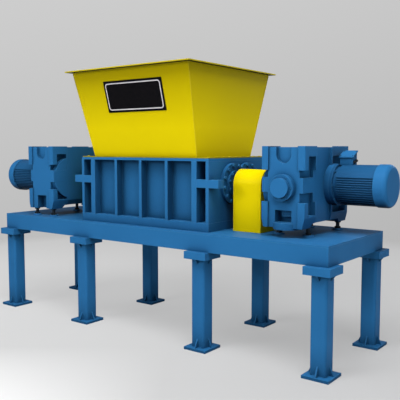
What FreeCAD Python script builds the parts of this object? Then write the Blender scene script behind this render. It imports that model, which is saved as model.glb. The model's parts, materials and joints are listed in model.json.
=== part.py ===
"""Double shaft shredder on a welded table, driven by one gear motor at each end.

Frame: +X runs along the machine, -Y is the front, +Z is up, in millimetres.  The origin is on
the floor under the middle of the machine.  Seen from above the machine is the same after half a
turn about Z, so most pieces are modelled once, at the front or at the right, and turned over.
"""
import FreeCAD, Part
import os
import re
import Sketcher
from FreeCAD import Placement, Rotation, Vector

SIZES = {
    # Table: four mitred channels, cross beams and a plate deck
    "table_length": 4930,
    "table_width": 1384,
    "table_height": 1300,
    "deck_thickness": 16,
    "beam_depth": 188,
    "beam_flange_width": 90,
    "beam_web": 10,
    "beam_flange_thickness": 14,
    "cross_beam_width": 110,
    # Legs: eight square posts with a foot plate, a cap and gussets
    "leg_end_inset": 92,
    "leg_side_inset": 78,
    "leg_inner_place": 926,
    "post_width": 175,
    "post_corner": 28,
    "foot_width": 290,
    "foot_thickness": 30,
    "cap_width": 288,
    "cap_thickness": 80,
    "gusset_thickness": 16,
    "foot_gusset_height": 100,
    "cap_gusset_height": 60,
    "gusset_margin": 8,
    # Cutting chamber: a box of thick plates bolted between a base frame and a top flange
    "chamber_length": 2000,
    "chamber_width": 1196,
    "chamber_over_shaft": 290,
    "base_frame_height": 96,
    "top_flange_thickness": 30,
    "bearing_plate_thickness": 40,
    "end_gap": 125,
    "inner_plate_thickness": 70,
    "side_wall_thickness": 40,
    "side_wall_recess": 98,
    "rib_thickness": 40,
    "rib_spacing": 400,
    "split_block_height": 90,
    "split_block_lift": 15,
    "split_block_reach": 130,
    "split_block_width": 100,
    # Hopper: four mitred sheets with a rim folded outwards, on a flat flange
    "hopper_flange_end_inset": 13,
    "hopper_flange_side_inset": 8,
    "hopper_flange_thickness": 12,
    "hopper_end_inset": 197,
    "hopper_side_inset": 51,
    "hopper_end_flare": 94,
    "hopper_side_flare": 271,
    "hopper_height": 1013,
    "hopper_sheet": 10,
    "rim_end_reach": 61,
    "rim_side_reach": 72,
    "rim_thickness": 14,
    # Two parallel shafts with hooked cutters, and the scrapers between the cutters
    "shaft_lift": 515,
    "shaft_spacing": 290,
    "journal_radius": 60,
    "collar_radius": 92,
    "hexagon_radius": 84,
    "shaft_end_radius": 50,
    "shaft_end_reach": 270,
    "cutter_count": 12,
    "cutter_radius": 185,
    "cutter_root_radius": 156,
    "cutter_gap": 1,
    "spacer_radius": 98,
    "hook_count": 7,
    "scraper_bar_depth": 108,
    "scraper_height": 150,
    "scraper_slope": 60,
    "scraper_clearance": 5,
    "fit_clearance": 0.3,
    # Bearing housings: flanged, flattened where the pair meets, with a stepped cap
    "housing_radius": 236,
    "housing_thickness": 40,
    "housing_gap": 2,
    "spigot_radius": 130,
    "bearing_cap_radius": 150,
    "bearing_cap_thickness": 22,
    # Coupling between rotor and gearbox, under a sheet guard
    "coupling_radius": 118,
    "coupling_hub_radius": 84,
    "coupling_length": 250,
    "coupling_rim_length": 76,
    "coupling_start": 1185,
    "guard_start": 1130,
    "guard_length": 355,
    "guard_width": 330,
    "guard_over_shaft": 170,
    "guard_sheet": 6,
    "guard_hole_radius": 92,
    # Gearbox: a cast housing with corner lugs, on four jacking studs
    "gearbox_place": 1829,
    "gearbox_shift": 72.5,
    "gearbox_width": 508,
    "gearbox_length": 1045,
    "gearbox_clearance": 100,
    "gearbox_corner": 14,
    "lug_width": 80,
    "lug_depth": 77,
    "upper_lug_start": 180,
    "lower_lug_start": 150,
    "lug_taper_height": 110,
    "lug_taper_depth": 28,
    "end_recess": 18,
    "side_recess": 31,
    "block_margin": 20,
    "block_rise": 10,
    "face_pocket_depth": 70,
    "face_pocket_width": 162,
    "motor_pocket_width": 328,
    "face_pocket_top": 320,
    "face_pocket_bottom": 290,
    "face_band_top": 104,
    "face_band_bottom": 52,
    "face_boss_radius": 272,
    "foot_recess": 42,
    "foot_length": 215,
    "end_notch_radius": 88,
    "end_notch_drop": 165,
    "end_notch_depth": 58,
    "window_width": 192,
    "window_height": 124,
    "window_lift": 56,
    "window_depth": 120,
    "lip_radius": 150,
    "lip_height": 50,
    "lip_drop": 20,
    "lip_reach": 34,
    "rear_opening_width": 180,
    "rear_opening_height": 176,
    "output_boss_radius": 124,
    "output_boss_reach": 40,
    "output_shaft_radius": 55,
    "cover_ring_radius": 138,
    "cover_ring_thickness": 60,
    "cover_disc_radius": 101,
    "cover_disc_thickness": 40,
    "stud_radius": 21,
    "stud_foot_radius": 58,
    "stud_foot_thickness": 16,
    "stud_side_place": 171,
    "stud_front_inset": 250,
    "stud_back_inset": 75,
    # Motor: flange, finned body, fan cowl and terminal box
    "motor_shift": 250,
    "motor_lift": 11,
    "motor_boss_reach": 27,
    "motor_flange_radius": 226,
    "motor_flange_thickness": 36,
    "motor_shield_radius": 196,
    "motor_shield_length": 40,
    "motor_body_radius": 200,
    "motor_body_length": 439,
    "fin_radius": 218,
    "fin_top": 85,
    "fin_gap": 14,
    "fin_run": 264,
    "fin_count": 12,
    "cowl_radius": 226,
    "cowl_sheet": 5,
    "cowl_length": 139,
    "cowl_overlap": 34,
    "cowl_round": 46,
    "terminal_box_place": 14,
    "terminal_box_length": 145,
    "terminal_box_width": 107,
    "terminal_box_height": 70,
    "terminal_box_rise": 66,
    "terminal_lid_thickness": 14,
    "terminal_lid_overhang": 8,
}

# Places that several pieces share, worked out from the sizes above
PLACES = {
    "beam_top": "table_height - deck_thickness",
    "beam_bottom": "beam_top - beam_depth",
    "leg_end_place": "table_length/2 - leg_end_inset",
    "leg_side_place": "table_width/2 - leg_side_inset",
    "cap_bottom": "beam_bottom - cap_thickness",
    "shaft_height": "table_height + shaft_lift",
    "chamber_top": "shaft_height + chamber_over_shaft",
    "base_frame_top": "table_height + base_frame_height",
    "plate_top": "chamber_top - top_flange_thickness",
    "chamber_end": "chamber_length/2",
    "chamber_side": "chamber_width/2",
    "bearing_plate_inside": "chamber_end - bearing_plate_thickness",
    "inner_plate_outside": "bearing_plate_inside - end_gap",
    "inside_end": "inner_plate_outside - inner_plate_thickness",
    "side_wall_face": "chamber_side - side_wall_recess",
    "inside_side": "side_wall_face - side_wall_thickness",
    "hopper_bottom": "chamber_top + hopper_flange_thickness",
    "hopper_top": "hopper_bottom + hopper_height",
    "hopper_bottom_end": "chamber_end - hopper_end_inset",
    "hopper_bottom_side": "chamber_side - hopper_side_inset",
    "hopper_top_end": "hopper_bottom_end + hopper_end_flare",
    "hopper_top_side": "hopper_bottom_side + hopper_side_flare",
    "shaft_side": "shaft_spacing/2",
    "cutter_pitch": "inside_end/cutter_count",
    "cutter_width": "cutter_pitch - cutter_gap",
    "housing_face": "chamber_end + housing_thickness",
    "bearing_cap_face": "housing_face + bearing_cap_thickness",
    "gearbox_inside": "gearbox_place - gearbox_width/2",
    "gearbox_outside": "gearbox_place + gearbox_width/2",
    "gearbox_bottom": "table_height + gearbox_clearance",
    "gearbox_half_height": "shaft_lift - gearbox_clearance",
    "output_place": "-shaft_side - gearbox_shift",
    "motor_start": "gearbox_outside + motor_boss_reach + motor_flange_thickness",
    "motor_height": "shaft_height + motor_lift",
    "cowl_start": "motor_shield_length + motor_body_length - cowl_overlap",
    "cowl_seat_radius": "cowl_radius - cowl_sheet - fit_clearance",
}

HALF_TURN = Placement(Vector(0, 0, 0), Rotation(Vector(0, 0, 1), 180))
ALONG_X = Rotation(Vector(0, 1, 0), 90)

doc = FreeCAD.newDocument("double_shaft_shredder")


def make_sheet():
    """Write the driving sizes into the sheet, one row each."""
    sheet = doc.addObject("Spreadsheet::Sheet", "Sizes")
    for row, (name, size) in enumerate(SIZES.items(), 1):
        sheet.set(f"A{row}", name)
        sheet.set(f"B{row}", str(size))
        sheet.setAlias(f"B{row}", name)
    doc.recompute()
    return sheet


def count_of(name):
    """Read a whole number, such as how many copies a row has, from the sheet."""
    return int(doc.Sizes.get(name))


def expand(text):
    """Write shared places out in full and point every size at its cell."""
    def full(match):
        word = match.group(0)
        if word in PLACES:
            return f"({expand(PLACES[word])})"
        return f"Sizes.{word}" if word in SIZES else word
    return re.sub(r"[a-z]+(?:_[a-z]+)+", full, text)


def bind(thing, name, text):
    """Tie one property of an object to an expression in the named sizes."""
    thing.setExpression(name, expand(text))


def move(thing, x="0", y="0", z="0"):
    """Tie the place of an object to expressions."""
    for axis, text in zip("xyz", (x, y, z)):
        bind(thing, f"Placement.Base.{axis}", text)
    return thing


def block(name, x, y, z):
    """Make a box from its (start, end) along each axis."""
    piece = doc.addObject("Part::Box", name)
    for side, (start, end) in zip(("Length", "Width", "Height"), (x, y, z)):
        bind(piece, side, f"({end}) - ({start})")
    return move(piece, x[0], y[0], z[0])


def round_bar(name, radius, x, y, z):
    """Make a cylinder along X between x[0] and x[1]."""
    piece = doc.addObject("Part::Cylinder", name)
    piece.Placement = Placement(Vector(0, 0, 0), ALONG_X)
    bind(piece, "Radius", radius)
    bind(piece, "Height", f"({x[1]}) - ({x[0]})")
    return move(piece, x[0], y, z)


def upright(name, radius, x, y, z):
    """Make a cylinder along Z between z[0] and z[1]."""
    piece = doc.addObject("Part::Cylinder", name)
    bind(piece, "Radius", radius)
    bind(piece, "Height", f"({z[1]}) - ({z[0]})")
    return move(piece, x, y, z[0])


def fuse(name, *pieces):
    """Join pieces into one solid."""
    joined = doc.addObject("Part::MultiFuse", name)
    joined.Shapes = list(pieces)
    joined.Refine = True
    return joined


def cut(name, base, *tools):
    """Take tools away from a piece."""
    result = doc.addObject("Part::Cut", name)
    result.Base = base
    result.Tool = tools[0] if len(tools) == 1 else group(f"{name}_tools", *tools)
    return result


def group(name, *pieces):
    """Keep pieces that don't touch together under one name."""
    together = doc.addObject("Part::Compound", name)
    together.Links = list(pieces)
    return together


def turned(name, piece):
    """Copy a piece by half a turn about the middle of the machine."""
    copy = group(name, piece)
    copy.Placement = HALF_TURN
    return copy


def link(name, piece, x="0", y="0", z="0", turn=0, about=Vector(0, 0, 1)):
    """Copy a piece by a place and a turn of its own."""
    copy = doc.addObject("App::Link", name)
    copy.LinkedObject = piece
    copy.Placement = Placement(Vector(0, 0, 0), Rotation(about, turn))
    return move(copy, x, y, z)


def new_body(name):
    """Start a body that is built from features."""
    return doc.addObject("PartDesign::Body", name)


def origin_part(body, role):
    """Find one of the body's own planes or axes."""
    return next(item for item in body.Origin.OriginFeatures if item.Role == role)


def sketch_on(body, role, offset="0"):
    """Start a sketch on a plane of the body, moved along the plane's normal."""
    sketch = body.newObject("Sketcher::SketchObject", f"{body.Name}_sketch")
    sketch.AttachmentSupport = [(origin_part(body, role), "")]
    sketch.MapMode = "FlatFace"
    bind(sketch, "AttachmentOffset.Base.z", offset)
    return sketch


def pin_point(sketch, index, which, x, y):
    """Tie one point of a sketch to expressions for its two coordinates."""
    for kind, text in (("DistanceX", x), ("DistanceY", y)):
        number = sketch.addConstraint(Sketcher.Constraint(kind, index, which, 1.0))
        bind(sketch, f"Constraints[{number}]", text)


# Lines are drawn about this far out before their sizes are tied to them
DRAWN_SIZE = 2 * SIZES["beam_depth"]


def outline(sketch, points):
    """Draw a closed outline through points, each tied to expressions."""
    total = len(points)
    start = Vector(DRAWN_SIZE, 0, 0)
    corners = [Rotation(Vector(0, 0, 1), 360 * n / total).multVec(start) for n in range(total)]
    first = sketch.GeometryCount
    for here, ahead in zip(corners, corners[1:] + corners[:1]):
        sketch.addGeometry(Part.LineSegment(here, ahead), False)
    for n, (x, y) in enumerate(points):
        ahead = first + (n + 1) % total
        sketch.addConstraint(Sketcher.Constraint("Coincident", first + n, 2, ahead, 1))
        pin_point(sketch, first + n, 1, x, y)
    return sketch


def rectangle(sketch, x, y):
    """Draw a rectangle from its (start, end) along each axis."""
    return outline(sketch, [(x[0], y[0]), (x[1], y[0]), (x[1], y[1]), (x[0], y[1])])


def circle(sketch, x, y, radius):
    """Draw a circle tied to expressions."""
    index = sketch.addGeometry(Part.Circle(Vector(0, 0, 0), Vector(0, 0, 1), 50), False)
    pin_point(sketch, index, 3, x, y)
    number = sketch.addConstraint(Sketcher.Constraint("Radius", index, 50.0))
    bind(sketch, f"Constraints[{number}]", radius)
    return sketch


def extrude(body, kind, sketch, length, backwards=False):
    """Add or take away a straight length of a sketch."""
    feature = body.newObject(f"PartDesign::{kind}", f"{body.Name}_{kind.lower()}")
    feature.Profile = sketch
    feature.Reversed = backwards
    bind(feature, "Length", length)
    return feature


def pad(body, sketch, length, backwards=False):
    """Raise a sketch along its normal."""
    return extrude(body, "Pad", sketch, length, backwards)


def pocket(body, sketch, length, backwards=False):
    """Sink a sketch against its normal."""
    return extrude(body, "Pocket", sketch, length, backwards)


def revolve(body, sketch):
    """Turn a sketch on the XZ plane once about X."""
    feature = body.newObject("PartDesign::Revolution", f"{body.Name}_revolution")
    feature.Profile = sketch
    feature.ReferenceAxis = (sketch, ["H_Axis"])
    feature.Angle = 360
    return feature


def repeat_round(body, feature, count):
    """Repeat a feature about the body's X axis."""
    pattern = body.newObject("PartDesign::PolarPattern", f"{body.Name}_pattern")
    pattern.Originals = [feature]
    pattern.Axis = (origin_part(body, "X_Axis"), [""])
    pattern.Angle = 360
    bind(pattern, "Occurrences", count)
    body.Tip = pattern
    return pattern


def repeat_down(body, feature, run, count):
    """Repeat a feature downwards along the body's Z axis, spread over a run."""
    pattern = body.newObject("PartDesign::LinearPattern", f"{body.Name}_pattern")
    pattern.Originals = [feature]
    pattern.Direction = (origin_part(body, "Z_Axis"), [""])
    pattern.Reversed = True
    bind(pattern, "Length", run)
    bind(pattern, "Occurrences", count)
    body.Tip = pattern
    return pattern


def round_edges(body, feature, radius, chosen):
    """Round the edges of a feature that the test picks out."""
    doc.recompute()
    names = [f"Edge{n}" for n, edge in enumerate(feature.Shape.Edges, 1) if chosen(edge)]
    fillet = body.newObject("PartDesign::Fillet", f"{body.Name}_fillet")
    fillet.Base = (feature, names)
    bind(fillet, "Radius", radius)
    return fillet


def hollow_out(body, feature, thickness, chosen):
    """Turn a feature into a shell that is open at the faces that the test picks out."""
    doc.recompute()
    names = [f"Face{n}" for n, face in enumerate(feature.Shape.Faces, 1) if chosen(face)]
    shell = body.newObject("PartDesign::Thickness", f"{body.Name}_shell")
    shell.Base = (feature, names)
    shell.Reversed = True
    bind(shell, "Value", thickness)
    return shell


def is_upright(edge):
    """Tell whether an edge is straight and vertical."""
    straight = isinstance(edge.Curve, Part.Line)
    return straight and abs(edge.Curve.Direction.z) > 0.99


def beam(name, half_run, half_across, quarter_turns):
    """Make a mitred channel with its web outwards, along X at the front, then turn it."""
    body = new_body(name)
    section = sketch_on(body, "YZ_Plane", f"-({half_run})")
    face = f"-({half_across})"
    lip = f"{face} + beam_flange_width"
    web = f"{face} + beam_web"
    under = "beam_top - beam_flange_thickness"
    over = "beam_bottom + beam_flange_thickness"
    outline(section, [(face, "beam_bottom"), (lip, "beam_bottom"), (lip, over), (web, over),
                      (web, under), (lip, under), (lip, "beam_top"), (face, "beam_top")])
    pad(body, section, f"2*({half_run})")
    mitres = sketch_on(body, "XY_Plane", "beam_top")
    for way in ("-", ""):
        end = f"{way}({half_run})"
        back = f"{way}({half_run} - beam_flange_width)"
        outline(mitres, [(end, face), (end, lip), (back, lip)])
    pocket(body, mitres, "beam_depth")
    body.Placement = Placement(Vector(0, 0, 0), Rotation(Vector(0, 0, 1), 90 * quarter_turns))
    return body


def table():
    """Make the frame under the deck, and the deck with its discharge opening."""
    beams = [
        beam("front_beam", "table_length/2", "table_width/2", 0),
        beam("end_beam_right", "table_width/2", "table_length/2", 1),
        beam("back_beam", "table_length/2", "table_width/2", 2),
        beam("end_beam_left", "table_width/2", "table_length/2", 3),
    ]
    reach = "table_width/2 - beam_web"
    height = ("beam_bottom + beam_flange_thickness", "beam_top - beam_flange_thickness")
    bars = []
    for place in ("gearbox_place", "leg_inner_place"):
        for way in ("-", ""):
            middle = f"{way}{place}"
            across = (f"{middle} - cross_beam_width/2", f"{middle} + cross_beam_width/2")
            bars.append(block("cross_beam", across, (f"-({reach})", reach), height))
    plate = block("deck_blank", ("-table_length/2", "table_length/2"),
                  ("-table_width/2", "table_width/2"), ("beam_top", "table_height"))
    opening = block("deck_opening", ("-inside_end", "inside_end"),
                    ("-inside_side", "inside_side"), ("beam_bottom", "chamber_top"))
    return beams + [group("cross_beams", *bars), cut("deck_plate", plate, opening)]


def gusset(body, plane, plate, tip, width):
    """Add four triangular gussets that stand on a plate, two along X and two along Y."""
    reach = f"{width}/2 - gusset_margin"
    sketch = sketch_on(body, plane, "-gusset_thickness/2")
    for way in ("-", ""):
        outline(sketch, [("0", plate), (f"{way}({reach})", plate), (f"{way}post_width/2", tip),
                         ("0", tip)])
    return pad(body, sketch, "gusset_thickness")


def leg():
    """Make one leg at the origin: foot plate, rounded post, cap and gussets."""
    body = new_body("leg_pattern")
    post = sketch_on(body, "XY_Plane", "foot_thickness")
    rectangle(post, ("-post_width/2", "post_width/2"), ("-post_width/2", "post_width/2"))
    shaft = pad(body, post, "cap_bottom - foot_thickness")
    round_edges(body, shaft, "post_corner", is_upright)
    foot = rectangle(sketch_on(body, "XY_Plane"), ("-foot_width/2", "foot_width/2"),
                     ("-foot_width/2", "foot_width/2"))
    pad(body, foot, "foot_thickness")
    cap = rectangle(sketch_on(body, "XY_Plane", "cap_bottom"), ("-cap_width/2", "cap_width/2"),
                    ("-cap_width/2", "cap_width/2"))
    pad(body, cap, "cap_thickness")
    for plane in ("XZ_Plane", "YZ_Plane"):
        gusset(body, plane, "foot_thickness", "foot_thickness + foot_gusset_height",
               "foot_width")
        gusset(body, plane, "cap_bottom", "cap_bottom - cap_gusset_height", "cap_width")
    return body


def legs():
    """Stand a leg under the table at each of eight places."""
    pattern = leg()
    columns = ("-leg_end_place", "-leg_inner_place", "leg_inner_place", "leg_end_place")
    made = []
    for row, way in (("front", "-"), ("back", "")):
        for number, place in enumerate(columns, 1):
            name = f"leg_{row}_{number}"
            copy = link(f"{name}_place", pattern, place, f"{way}leg_side_place")
            made.append(group(name, copy))
    return made


def side_wall():
    """Make the front wall of the chamber with its upright ribs, as one profile."""
    body = new_body("chamber_front_wall")
    plan = sketch_on(body, "XY_Plane", "base_frame_top")
    points = [("-inside_end", "-inside_side"), ("-inside_end", "-side_wall_face")]
    for place in ("-rib_spacing", "0", "rib_spacing"):
        left = f"{place} - rib_thickness/2"
        right = f"{place} + rib_thickness/2"
        points += [(left, "-side_wall_face"), (left, "-chamber_side"),
                   (right, "-chamber_side"), (right, "-side_wall_face")]
    points += [("inside_end", "-side_wall_face"), ("inside_end", "-inside_side")]
    pad(body, outline(plan, points), "plate_top - base_frame_top")
    return body


def centred(half):
    """Give the (start, end) of a length that the middle plane halves."""
    return f"-({half})", half


def ring_plate(name, outside, opening, z):
    """Make a flat frame from the half length and half width of its outside and opening."""
    plate = block(f"{name}_blank", centred(outside[0]), centred(outside[1]), z)
    hole = block(f"{name}_hole", centred(opening[0]), centred(opening[1]), z)
    return cut(name, plate, hole)


def end_plate(name, x, radius, *more):
    """Make an upright plate of the chamber with a hole for each shaft."""
    plate = block(f"{name}_blank", x, ("-chamber_side", "chamber_side"),
                  ("base_frame_top", "plate_top"))
    holes = [round_bar(f"{name}_hole", radius, x, side, "shaft_height")
             for side in ("-shaft_side", "shaft_side")]
    return cut(name, plate, *holes, *more)


def split_blocks(name, x):
    """Make the pair of bars level with the shafts at the right end of the chamber."""
    middle = "shaft_height + split_block_lift"
    z = (f"{middle} - split_block_height/2", f"{middle} + split_block_height/2")
    inner = "chamber_side - split_block_width"
    front = block(f"{name}_front", x, ("-chamber_side", f"-({inner})"), z)
    back = block(f"{name}_back", x, (inner, "chamber_side"), z)
    return [front, back]


def chamber():
    """Make the box that the shafts run through."""
    front = side_wall()
    inner = end_plate("inner_end_wall_right", ("inside_end", "inner_plate_outside"),
                      "collar_radius + scraper_clearance")
    slots = split_blocks("split_slot", ("bearing_plate_inside", "chamber_end"))
    outer = end_plate("bearing_plate_right", ("bearing_plate_inside", "chamber_end"),
                      "spigot_radius + fit_clearance", *slots)
    bars = split_blocks("split_bar", ("inner_plate_outside", "chamber_end + split_block_reach"))
    right_bars = group("split_blocks_right", *bars)
    outside = ("chamber_end", "chamber_side")
    opening = ("inside_end", "inside_side")
    return [
        front, turned("chamber_back_wall", front),
        inner, turned("inner_end_wall_left", inner),
        outer, turned("bearing_plate_left", outer),
        right_bars, turned("split_blocks_left", right_bars),
        ring_plate("base_frame", outside, opening, ("table_height", "base_frame_top")),
        ring_plate("chamber_top_flange", outside, opening, ("plate_top", "chamber_top")),
    ]


def hopper_side(name, run, reach, rim, quarter_turns):
    """Make one sloping sheet with its folded rim at the front, then turn it.

    run and reach are the (bottom, top) half length and distance from the middle, and rim is
    the half length and distance of the outer edge of the rim.
    """
    body = new_body(name)
    sections = []
    for level, half, out in zip(("hopper_bottom", "hopper_top"), run, reach):
        sketch = sketch_on(body, "XY_Plane", level)
        near = f"({half} - hopper_sheet)"
        outline(sketch, [(f"-{half}", f"-{out}"), (half, f"-{out}"),
                         (near, f"-({out} - hopper_sheet)"), (f"-{near}", f"-({out} - hopper_sheet)")])
        sections.append(sketch)
    sheet = body.newObject("PartDesign::AdditiveLoft", f"{name}_loft")
    sheet.Profile = sections[0]
    sheet.Sections = sections[1:]
    sheet.Ruled = True
    fold = sketch_on(body, "XY_Plane", "hopper_top")
    near = f"({run[1]} - hopper_sheet)"
    outline(fold, [(f"-{rim[0]}", f"-{rim[1]}"), (rim[0], f"-{rim[1]}"),
                   (near, f"-({reach[1]} - hopper_sheet)"), (f"-{near}", f"-({reach[1]} - hopper_sheet)")])
    pad(body, fold, "rim_thickness")
    body.Placement = Placement(Vector(0, 0, 0), Rotation(Vector(0, 0, 1), 90 * quarter_turns))
    return body


def hopper():
    """Make the hopper sheets and the flange that they stand on."""
    lengths = ("hopper_bottom_end", "hopper_top_end")
    widths = ("hopper_bottom_side", "hopper_top_side")
    rims = ("(hopper_top_end + rim_end_reach)", "(hopper_top_side + rim_side_reach)")
    opening = ("hopper_bottom_end - hopper_sheet", "hopper_bottom_side - hopper_sheet")
    return [
        hopper_side("hopper_front", lengths, widths, rims, 0),
        hopper_side("hopper_right", widths, lengths, rims[::-1], 1),
        hopper_side("hopper_back", lengths, widths, rims, 2),
        hopper_side("hopper_left", widths, lengths, rims[::-1], 3),
        ring_plate("hopper_flange", ("chamber_end - hopper_flange_end_inset",
                                     "chamber_side - hopper_flange_side_inset"),
                   opening, ("chamber_top", "hopper_bottom")),
    ]


def rotor_shaft():
    """Make the front shaft: journals, collars, a hexagon for the cutters and a drive end."""
    middle = ("-shaft_side", "shaft_height")
    journal = round_bar("journal", "journal_radius", ("-housing_face", "bearing_cap_face"), *middle)
    collar = round_bar("collar", "collar_radius",
                       ("-inner_plate_outside", "inner_plate_outside"), *middle)
    waist = round_bar("collar_inside", "collar_radius*2", ("-inside_end", "inside_end"), *middle)
    drive = round_bar("drive_end", "shaft_end_radius",
                      ("bearing_cap_face", "chamber_end + shaft_end_reach"), *middle)
    hexagon = doc.addObject("Part::Prism", "hexagon")
    hexagon.Polygon = 6
    hexagon.Placement = Placement(Vector(0, 0, 0), ALONG_X)
    bind(hexagon, "Circumradius", "hexagon_radius")
    bind(hexagon, "Height", "2*inside_end")
    move(hexagon, "-inside_end", *middle)
    return fuse("shaft_front", journal, cut("collars", collar, waist), hexagon, drive)


def polar_point(radius, degrees):
    """Give a point of a sketch by its radius and angle."""
    return f"{radius}*cos({degrees})", f"{radius}*sin({degrees})"


def cutter():
    """Make one cutter about X: a disc with hooks, a spacer on one side and a hexagon bore."""
    body = new_body("cutter_pattern")
    disc = circle(sketch_on(body, "YZ_Plane", "-cutter_width/2"), "0", "0", "cutter_root_radius")
    pad(body, disc, "cutter_width")
    hook = sketch_on(body, "YZ_Plane", "-cutter_width/2")
    base = "cutter_root_radius*0.9"
    outline(hook, [polar_point(base, "0"), polar_point("cutter_root_radius", "2"),
                   polar_point("cutter_radius", "5"), polar_point("cutter_radius", "-7"),
                   polar_point("cutter_root_radius", "-34"), polar_point(base, "-30")])
    repeat_round(body, pad(body, hook, "cutter_width"), "hook_count")
    spacer = circle(sketch_on(body, "YZ_Plane", "-cutter_width/2"), "0", "0", "spacer_radius")
    pad(body, spacer, "cutter_pitch", True)
    bore = sketch_on(body, "YZ_Plane", "cutter_pitch")
    outline(bore, [polar_point("(hexagon_radius + fit_clearance)", f"{60 * n + 30}")
                   for n in range(6)])
    pocket(body, bore, "3*cutter_pitch")
    return body


def rotor():
    """Make the front shaft with its row of cutters, each turned one hexagon flat further."""
    pattern = cutter()
    row = []
    total = count_of("cutter_count")
    for number in range(total):
        place = f"(2*{number} + 1.5 - cutter_count)*cutter_pitch"
        row.append(link("cutter", pattern, place, "-shaft_side", "shaft_height",
                        60 * (number % 6), Vector(1, 0, 0)))
    shaft = rotor_shaft()
    cutters = group("cutters_front", *row)
    return [shaft, turned("shaft_back", shaft), cutters, turned("cutters_back", cutters)]


def scraper():
    """Make the front scraper: a sloping bar along the wall with a finger at each spacer."""
    body = new_body("scraper_front")
    bar = sketch_on(body, "YZ_Plane", "-inside_end")
    wall = "-inside_side"
    face = "-inside_side + scraper_bar_depth"
    top = "shaft_height + scraper_height/2"
    bottom = "shaft_height - scraper_height/2"
    outline(bar, [(wall, bottom), (face, bottom), (face, top), (wall, f"{top} + scraper_slope")])
    pad(body, bar, "2*inside_end")
    for number in range(count_of("cutter_count")):
        start = f"(2*{number} - cutter_count)*cutter_pitch"
        finger = sketch_on(body, "YZ_Plane", f"{start} + cutter_gap")
        rectangle(finger, (face, "-shaft_side"), (f"{bottom} + cutter_gap", f"{top} - cutter_gap"))
        pad(body, finger, "cutter_pitch - 2*cutter_gap")
    relief = circle(sketch_on(body, "YZ_Plane", "inside_end"), "-shaft_side", "shaft_height",
                    "spacer_radius + scraper_clearance")
    pocket(body, relief, "2*inside_end")
    return body


def bearing_housing(name, bore_end):
    """Make a housing at the front right: flange with a flat side, stepped cap and spigot."""
    middle = ("-shaft_side", "shaft_height")
    flange = round_bar(f"{name}_flange", "housing_radius", ("chamber_end", "housing_face"), *middle)
    cap = round_bar(f"{name}_cap", "bearing_cap_radius", ("housing_face", "bearing_cap_face"), *middle)
    spigot = round_bar(f"{name}_spigot", "spigot_radius", ("bearing_plate_inside", "chamber_end"),
                       *middle)
    flat = block(f"{name}_flat", ("chamber_end", "bearing_cap_face"), ("-housing_gap/2", "housing_radius"),
                 ("shaft_height - housing_radius", "shaft_height + housing_radius"))
    bore = round_bar(f"{name}_bore", "journal_radius + fit_clearance",
                     ("bearing_plate_inside", bore_end), *middle)
    return cut(name, fuse(f"{name}_blank", flange, cap, spigot), flat, bore)


def bearings():
    """Make the four housings: open where a shaft is driven, closed at its other end."""
    driven = bearing_housing("bearing_front_right", "bearing_cap_face")
    closed = bearing_housing("bearing_closed_pattern", "housing_face + fit_clearance")
    flip = Vector(1, 0, 0)
    back_right = group("bearing_back_right",
                       link("bearing_back_right_place", closed, "0", "0", "2*shaft_height", 180, flip))
    return [driven, turned("bearing_back_left", driven),
            back_right, turned("bearing_front_left", back_right)]


def coupling():
    """Make the coupling about the front shaft: two hubs with bolted rims."""
    body = new_body("coupling_right")
    half = sketch_on(body, "XZ_Plane")
    bore = "output_shaft_radius + fit_clearance"
    rim = "(coupling_length - coupling_rim_length)/2"
    outline(half, [("0", bore), ("coupling_length", bore), ("coupling_length", "coupling_hub_radius"),
                   (f"coupling_length - {rim}", "coupling_hub_radius"),
                   (f"coupling_length - {rim}", "coupling_radius"), (rim, "coupling_radius"),
                   (rim, "coupling_hub_radius"), ("0", "coupling_hub_radius")])
    revolve(body, half)
    move(body, "coupling_start", "-shaft_side", "shaft_height")
    return body


def arch(name, x, half_width, top):
    """Make a solid with a half round top over the front shaft, standing on the deck."""
    radius = f"({half_width})"
    crown = f"({top} - {radius})"
    legs_part = block(f"{name}_legs", x, (f"-shaft_side - {radius}", f"-shaft_side + {radius}"),
                      ("table_height", crown))
    round_part = round_bar(f"{name}_crown", radius, x, "-shaft_side", crown)
    return fuse(name, legs_part, round_part)


def guard():
    """Make the sheet guard over the coupling, open below and holed for the shaft."""
    end = "guard_start + guard_length"
    top = "(shaft_height + guard_over_shaft)"
    outside = arch("guard_outside", ("guard_start", end), "guard_width/2", top)
    inside = arch("guard_inside", ("guard_start + guard_sheet", f"{end} - guard_sheet"),
                  "guard_width/2 - guard_sheet", f"({top} - guard_sheet)")
    hole = round_bar("guard_hole", "guard_hole_radius", ("guard_start", end), "-shaft_side",
                     "shaft_height")
    return cut("guard_right", outside, inside, hole)


def long_face(body, plane_offset, rear_width, backwards):
    """Sink one long face between its corner blocks, then sink the pockets beside the lugs."""
    front_block = "(-gearbox_length/2 + lug_depth + face_pocket_width + block_margin)"
    rear_block = f"(gearbox_length/2 - lug_depth - {rear_width} - block_margin)"
    between = sketch_on(body, "YZ_Plane", plane_offset)
    cross(between, (front_block, rear_block), "gearbox_length/2", "gearbox_half_height + block_rise")
    pocket(body, between, "side_recess", backwards)
    sketch = sketch_on(body, "YZ_Plane", plane_offset)
    for way, width in (("-", "face_pocket_width"), ("", rear_width)):
        corner = f"{way}(gearbox_length/2)"
        edge = f"{way}(gearbox_length/2 - lug_depth)"
        inner = f"{way}(gearbox_length/2 - lug_depth - {width})"
        for end, band, lug in (("face_pocket_top", "face_band_top", "upper_lug_start"),
                               ("-face_pocket_bottom", "-face_band_bottom", "-lower_lug_start")):
            outline(sketch, [(edge, end), (inner, end), (inner, band), (corner, band),
                             (corner, lug), (edge, lug)])
    pocket(body, sketch, "face_pocket_depth", backwards)


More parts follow.
